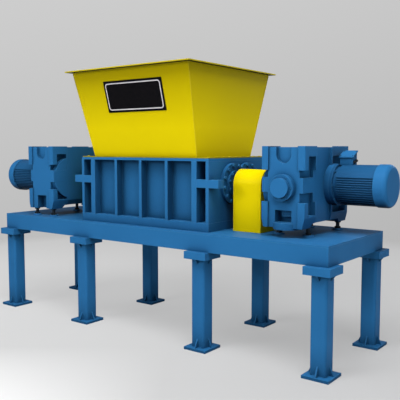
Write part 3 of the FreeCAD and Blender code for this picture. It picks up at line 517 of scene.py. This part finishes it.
# %% Glands and lid screws
def cable_gland(radius, length):
    """Model a gland standing on the origin: a six-sided nut that steps in to a rubber cap."""
    deselect_all()
    bpy.ops.mesh.primitive_cylinder_add(vertices=12, radius=radius, depth=length * 0.3,
                                        location=(0, 0, length * 0.15))
    gland = bpy.context.object
    bpy.ops.object.transform_apply(location=True)
    shape(gland)
    pick_faces(gland, lambda middle, normal: normal.z > 0.99)
    for rise, scale in ((0.02, 0.86), (0.35, 1.0), (0.08, 0.82), (0.20, 0.80)):
        bpy.ops.mesh.extrude_region_move(TRANSFORM_OT_translate={"value": (0, 0, rise * length)})
        bpy.ops.transform.resize(value=(scale, scale, 1))
    bpy.ops.mesh.inset(thickness=radius * 0.22)
    bpy.ops.mesh.extrude_region_move(TRANSFORM_OT_translate={"value": (0, 0, -0.2 * length)})
    bpy.ops.object.mode_set(mode="OBJECT")
    return gland


BOX_END = 2.305
LID_SLOPE = 0.066 / 0.123
LID_NORMAL = Vector((0, -LID_SLOPE, 1)).normalized()
lid_screw = socket_screw(0.007, 0.004)
lid_seats = [seat((x, MOTOR[1] + y, MOTOR[2] + 0.335 + LID_SLOPE * y), LID_NORMAL)
             for x in (2.166, 2.299) for y in (-0.046, 0.046)]
lay_both("lid_screws", lid_screw, lid_seats, dark_steel)
gland = cable_gland(0.017, 0.024)
gland_seats = [seat((BOX_END, MOTOR[1] + y, MOTOR[2] + 0.252 + 0.3 * y), X, y)
               for y in (-0.024, 0.024)]
lay_both("cable_glands", gland, gland_seats, dark_steel)
drop(lid_screw, gland)

# %% [markdown]
# ## Ledge inside the end window
# The photograph shows a paler ledge in the upper half of the window at the gearbox's front end.
# It starts as a block: the front face is inset and pushed back, and the edges are bevelled.


# %% Window ledge
def window_ledge():
    """Model the ledge in place, inside the window of the right-hand gearbox."""
    deselect_all()
    bpy.ops.mesh.primitive_cube_add(size=1, location=(1.858, -0.359, 1.545))
    ledge = bpy.context.object
    ledge.scale = (0.132, 0.060, 0.068)
    bpy.ops.object.transform_apply(location=True, scale=True)
    shape(ledge)
    pick_faces(ledge, lambda middle, normal: normal.y < -0.99)
    bpy.ops.mesh.inset(thickness=0.012)
    bpy.ops.mesh.extrude_region_move(TRANSFORM_OT_translate={"value": (0, 0.006, 0)})
    pick_edges(ledge, lambda a, b: abs(a.x - b.x) > 0.13 and max(a.y, b.y) < -0.38)
    bpy.ops.mesh.bevel(offset=0.005, segments=3)
    bpy.ops.object.mode_set(mode="OBJECT")
    return ledge


ledge = window_ledge()
lay_both("window_ledge", ledge, [Matrix()], blue_paint)
drop(ledge)

# %% [markdown]
# ## Face plates
# In the photograph the gearbox's inner long face is flush right up to its four pockets, while the
# casting sinks there between its corner blocks.  A plate closes the sunk cross.  It starts as an
# upright block that is cut across at the lugs and at the pockets.  Its sides between the cuts are
# then extruded in two steps, and its lower edge is raised to follow the casting's taper.

# %% Face plate
FACE_FLUSH, FACE_SUNK = 1.5745, 1.606
FACE_MIDDLE = 0.0725
FACE_LOW, FACE_TAPER, FACE_HIGH = 1.442, 1.510, 2.230
LUGS = (AXIS - 0.150, AXIS + 0.180)
BANDS = (AXIS - 0.052, AXIS + 0.104)
UPRIGHT_WIDTH, LUG_STEP, BAND_STEP = 0.527, 0.020, 0.2205


def face_plate():
    """Model the plate in place, on the right-hand gearbox."""
    deselect_all()
    bpy.ops.mesh.primitive_cube_add(size=1, location=(
        (FACE_FLUSH + FACE_SUNK) / 2, FACE_MIDDLE, (FACE_LOW + FACE_HIGH) / 2))
    plate = bpy.context.object
    plate.scale = (FACE_SUNK - FACE_FLUSH, UPRIGHT_WIDTH, FACE_HIGH - FACE_LOW)
    bpy.ops.object.transform_apply(location=True, scale=True)
    shape(plate)
    pick_edges(plate, lambda a, b: max(a.z, b.z) < FACE_LOW + 0.001
               and max(a.x, b.x) < FACE_SUNK - 0.001)
    bpy.ops.transform.translate(value=(0, 0, FACE_TAPER - FACE_LOW))
    for height in LUGS + BANDS:
        bpy.ops.mesh.select_all(action="SELECT")
        bpy.ops.mesh.bisect(plane_co=(0, 0, height), plane_no=(0, 0, 1))
    for way in (-1, 1):
        for reach, (low, high) in ((LUG_STEP, LUGS), (BAND_STEP, BANDS)):
            pick_faces(plate, lambda middle, normal: way * normal.y > 0.99
                       and low < middle.z < high)
            bpy.ops.mesh.extrude_region_move(TRANSFORM_OT_translate={"value": (0, way * reach, 0)})
    bpy.ops.object.mode_set(mode="OBJECT")
    return plate


face = face_plate()
lay_both("face_plate", face, [Matrix()], blue_paint)
drop(face)

# %% [markdown]
# ## Weld beads
# The hopper is four sheets welded along their corners, and each post is welded to its foot plate.
# A bead is a thin cylinder laid along X, cut across many times.  The rings between the cuts are
# then scaled in turn, which leaves the ripples that a torch leaves.


# %% Beads
def weld_bead(length, width, ripples):
    """Model a rippled bead along X, centred on the origin."""
    deselect_all()
    bpy.ops.mesh.primitive_cylinder_add(vertices=8, radius=width, depth=length,
                                        rotation=(0, math.pi / 2, 0))
    bead = bpy.context.object
    bpy.ops.object.transform_apply(rotation=True)
    shape(bead)
    pick_edges(bead, lambda a, b: abs(a.x - b.x) > length / 2)
    bpy.ops.mesh.subdivide(number_cuts=2 * ripples - 1)
    step = length / (2 * ripples)
    odd = lambda x: round((x + length / 2) / step) % 2 == 1
    bpy.ops.mesh.select_mode(type="VERT")
    bpy.ops.mesh.select_all(action="DESELECT")
    mesh = bmesh.from_edit_mesh(bead.data)
    for vertex in mesh.verts:
        vertex.select_set(odd(vertex.co.x))
    bmesh.update_edit_mesh(bead.data)
    bpy.ops.transform.resize(value=(1, 1.22, 1.22), center_override=(0, 0, 0))
    bpy.ops.mesh.select_all(action="DESELECT")
    mesh = bmesh.from_edit_mesh(bead.data)
    for vertex in mesh.verts:
        vertex.select_set(abs(vertex.co.x) > length / 2 - step / 2)
    bmesh.update_edit_mesh(bead.data)
    bpy.ops.transform.resize(value=(1, 0.55, 0.55), center_override=(0, 0, 0))
    bpy.ops.object.mode_set(mode="OBJECT")
    return bead


def between(start, end):
    """Seat a bead between two points."""
    start, end = Vector(start), Vector(end)
    run = (end - start).to_track_quat("X", "Z").to_matrix().to_4x4()
    return Matrix.Translation((start + end) / 2) @ run


HOPPER_FOOT = Vector((0.803, -0.547, 2.121))
HOPPER_HEAD = Vector((0.8955, -0.8135, 3.118))
corner_bead = weld_bead((HOPPER_HEAD - HOPPER_FOOT).length, 0.0042, 70)
corners = [between(HOPPER_FOOT, HOPPER_HEAD),
           between(HOPPER_FOOT * Vector((1, -1, 1)), HOPPER_HEAD * Vector((1, -1, 1)))]
lay_both("hopper_beads", corner_bead, corners, yellow_paint)

POST = 0.0875
FOOT_TOP = 0.030
BEAD_OFFSET = 0.034
foot_bead = weld_bead(0.046, 0.0050, 5)
legs = [(x, y) for x in (0.926, 2.373) for y in (-0.614, 0.614)]
foot_beads = []
for quarter in range(4):
    around = Matrix.Rotation(quarter * math.pi / 2, 4, "Z")
    for offset in (-BEAD_OFFSET, BEAD_OFFSET):
        side = around @ Matrix.Translation((offset, -POST, FOOT_TOP))
        foot_beads += [Matrix.Translation((x, y, 0)) @ side for x, y in legs]
lay_both("foot_beads", foot_bead, foot_beads, blue_paint)
drop(corner_bead, foot_bead)

# %% [markdown]
# ## The sign plate
# The front of the hopper carries a thin black plate.  On this model it is left bare, with a plain
# pale line around it.  The plate starts as a block with its edges bevelled.  The line is a flat
# frame: a square whose corners are bevelled round, inset, emptied and raised.

# %% Sign plate
SHEET_FOOT = Vector((0.0, -0.547, 2.117))
SHEET_UP = Vector((0.0, -0.271, 1.013)).normalized()
SHEET_OUT = X.cross(SHEET_UP)
PLATE_WIDTH, PLATE_HEIGHT, PLATE_DEPTH = 0.898, 0.371, 0.006
plate_middle = SHEET_FOOT + 0.041 * X + 0.7255 * SHEET_UP
plate_seat = Matrix((X, SHEET_UP, SHEET_OUT)).transposed().to_4x4()
plate_seat.translation = plate_middle

black_finish = Finish("sign_black", Roughness=0.5, IOR=1.45, Specular_IOR_Level=0.04)
shade = black_finish.noise(30.0, detail=4).between(0.4, 0.8)
black_finish.feed("Base Color", black_finish.blend(shade, (0.003, 0.003, 0.004, 1),
                                                   (0.006, 0.005, 0.006, 1)))
black_finish.feed("Roughness", 0.46 + 0.14 * shade)
pale_finish = Finish("sign_line", Roughness=0.45, IOR=1.45, Specular_IOR_Level=0.3)
worn = pale_finish.noise(45.0, detail=5).between(0.45, 0.75)
pale_finish.feed("Base Color", pale_finish.blend(worn, (0.62, 0.60, 0.62, 1),
                                                 (0.48, 0.46, 0.48, 1)))
pale_finish.feed("Roughness", 0.42 + 0.15 * worn)


def sign_plate():
    """Model the bare plate flat at the origin, facing +Z."""
    deselect_all()
    bpy.ops.mesh.primitive_cube_add(size=1, location=(0, 0, PLATE_DEPTH / 2))
    plate = bpy.context.object
    plate.scale = (PLATE_WIDTH, PLATE_HEIGHT, PLATE_DEPTH)
    bpy.ops.object.transform_apply(location=True, scale=True)
    shape(plate)
    pick_edges(plate, lambda a, b: abs(a.z - b.z) > PLATE_DEPTH / 2)
    bpy.ops.mesh.bevel(offset=0.008, segments=4)
    pick_edges(plate, lambda a, b: min(a.z, b.z) > PLATE_DEPTH * 0.9)
    bpy.ops.mesh.bevel(offset=0.0012, segments=2)
    bpy.ops.object.mode_set(mode="OBJECT")
    return plate


def sign_line(inset, width, height):
    """Model the rounded line as a low frame on the plate's face."""
    deselect_all()
    bpy.ops.mesh.primitive_plane_add(size=1, location=(0, 0, PLATE_DEPTH))
    line = bpy.context.object
    line.scale = (PLATE_WIDTH - 2 * inset, PLATE_HEIGHT - 2 * inset, 1)
    bpy.ops.object.transform_apply(location=True, scale=True)
    shape(line)
    bpy.ops.mesh.select_all(action="SELECT")
    bpy.ops.mesh.bevel(offset=0.036, segments=6, affect="VERTICES")
    bpy.ops.mesh.select_all(action="SELECT")
    bpy.ops.mesh.inset(thickness=width)
    bpy.ops.mesh.delete(type="FACE")
    bpy.ops.mesh.select_all(action="SELECT")
    bpy.ops.mesh.extrude_region_move(TRANSFORM_OT_translate={"value": (0, 0, height)})
    bpy.ops.mesh.select_all(action="SELECT")
    bpy.ops.mesh.normals_make_consistent()
    bpy.ops.object.mode_set(mode="OBJECT")
    return line


plate, line = sign_plate(), sign_line(0.026, 0.012, 0.0012)
lay_row("sign_plate", plate, [plate_seat], black_finish.material)
lay_row("sign_line", line, [plate_seat], pale_finish.material)
drop(plate, line)

# %% [markdown]
# ## Floor, light and camera
# The photograph has a pale studio floor that runs up into a grey wall without a line.  A very
# large floor does that when its far part takes the wall's own tone.  The camera was fitted to the
# table's corners, so it only has to be written down.  The floor also glows a little, which only the
# camera sees, so the machine isn't lit from below.  The glow is painted light: paler to the left,
# brightest at the near left corner and raised further back, where it lightens the machine's shadow.

# %% Camera
camera_data = bpy.data.cameras.new("camera")
camera = bpy.data.objects.new("camera", camera_data)
bpy.context.collection.objects.link(camera)
camera_data.sensor_width = 36.0
camera_data.lens = 55.87
right = Vector((0.7984, 0.6021, 0.0))
up = Vector((-0.0509, 0.0675, 0.9964))
back = right.cross(up).normalized()
turn = Matrix((right, back.cross(right), back)).transposed()
camera.matrix_world = Matrix.Translation((4.969, -6.014, 2.227)) @ turn.to_4x4()
bpy.context.scene.camera = camera
bpy.context.scene.view_settings.view_transform = "Standard"
print("camera looks along", tuple(round(v, 3) for v in -back))

# %% Floor
EYE = tuple(camera.matrix_world.translation)
bpy.ops.mesh.primitive_plane_add(size=160, location=(0, 0, 0))
floor = bpy.context.object
floor.name = "studio_floor"
floor_finish = Finish("floor_grey", Roughness=0.6, Specular_IOR_Level=0.15)


def along(finish, vector, direction):
    """Measure a vector along a fixed direction."""
    return finish.node("ShaderNodeVectorMath", {"operation": "DOT_PRODUCT"},
                       {0: vector, 1: direction}, output="Value")


def wall_tone(finish, sight):
    """Give the wall's grey for a line of sight: paler to the upper left, darker to the right."""
    rise = along(finish, sight, Z).between(-0.2, 0.4)
    tone = 0.478 - 0.06 * along(finish, sight, right) + 0.165 * rise
    return finish.node("ShaderNodeCombineXYZ", {}, {0: tone, 1: tone, 2: tone})


from_eye = floor_finish.node("ShaderNodeVectorMath", {"operation": "SUBTRACT"},
                             {0: floor_finish.place, 1: EYE})
sight = floor_finish.node("ShaderNodeVectorMath", {"operation": "NORMALIZE"}, {0: from_eye})
across = along(floor_finish, floor_finish.place, right).between(-3.0, 3.0)
depth = along(floor_finish, floor_finish.place, right.cross(Z) * -1)
away = depth.between(0.5, 11.0)
near = 1 - depth.between(-4.0, -1.0)
# Painted light: the base grey is a little paler to the right.
base = floor_finish.blend(across, (0.58, 0.58, 0.58, 1), (0.62, 0.62, 0.63, 1))
floor_finish.feed("Base Color", base)
painted_light_corner = near * (1 - across.between(0.2, 0.5))
far = depth.between(-2.0, 4.0)
# Painted light: the glow is paler to the left, brightest at the near left corner and raised further
# back.
glow = 0.71 - 0.25 * across + 0.25 * far + 1.25 * painted_light_corner
glow = floor_finish.node("ShaderNodeCombineXYZ", {}, {0: glow, 1: glow, 2: glow})
lit = floor_finish.node("ShaderNodeEmission", {}, {"Color": glow})
wall = floor_finish.node("ShaderNodeEmission", {}, {"Color": wall_tone(floor_finish, sight)})


def mix_shaders(finish, factor, first, second):
    """Mix two shaders."""
    return finish.node("ShaderNodeMixShader", {}, {0: factor, 1: first, 2: second})


surface = Field(floor_finish, floor_finish.shader.outputs[0])
seen = floor_finish.node("ShaderNodeLightPath", output="Is Camera Ray")
surface = mix_shaders(floor_finish, 0.60 * seen, surface, lit)
around = floor_finish.node("ShaderNodeVectorMath", {"operation": "LENGTH"},
                           {0: floor_finish.place}, output="Value")
fade = away.math("MAXIMUM", away, around.between(6.0, 8.5))
surface = mix_shaders(floor_finish, fade, surface, wall)
output = floor_finish.tree.nodes["Material Output"]
floor_finish.tree.links.new(surface.socket, output.inputs["Surface"])
floor.data.materials.append(floor_finish.material)
print("floor laid")

# %% World
world = bpy.data.worlds.new("studio")
bpy.context.scene.world = world
world.use_nodes = True


class Surround(Finish):
    """The world's nodes, written in the same way as a material's."""

    def __init__(self, world):
        self.tree = world.node_tree
        self.shader = self.tree.nodes["Background"]


studio = Surround(world)
studio.shader.inputs["Color"].default_value = (0.92, 0.96, 1.0, 1)
studio.shader.inputs["Strength"].default_value = 0.22
looking = studio.node("ShaderNodeTexCoord", output="Generated")
seen = studio.node("ShaderNodeLightPath", output="Is Camera Ray")
backdrop = studio.node("ShaderNodeBackground", {}, {"Color": wall_tone(studio, looking)})
surround = mix_shaders(studio, seen, Field(studio, studio.shader.outputs[0]), backdrop)
studio.tree.links.new(surround.socket, studio.tree.nodes["World Output"].inputs["Surface"])
print("world set")


# %% Lamps
def softbox(name, place, target, width, height, power, colour=(1, 1, 1)):
    """Hang a rectangular lamp that faces a point of the machine."""
    lamp = bpy.data.lights.new(name, "AREA")
    lamp.shape = "RECTANGLE"
    lamp.size = width
    lamp.size_y = height
    lamp.energy = power
    lamp.color = colour
    box = bpy.data.objects.new(name, lamp)
    bpy.context.collection.objects.link(box)
    box.location = place
    aim = Vector(target) - Vector(place)
    box.rotation_euler = aim.to_track_quat("-Z", "Y").to_euler()
    return box


softbox("key_front", (-3.5, -10.0, 5.5), (0, 0, 1.4), 5.0, 3.0, 490)
softbox("fill_right", (8.0, -2.5, 3.6), (0, 0, 1.4), 4.0, 2.0, 110)
softbox("sky_panel", (2.5, -3.5, 8.5), (0.5, 0, 1.5), 6.0, 4.0, 780)
softbox("rear_fill", (2.3, 9.5, 4.5), (0, 0, 1.6), 5.0, 3.0, 170)
print("four lamps")
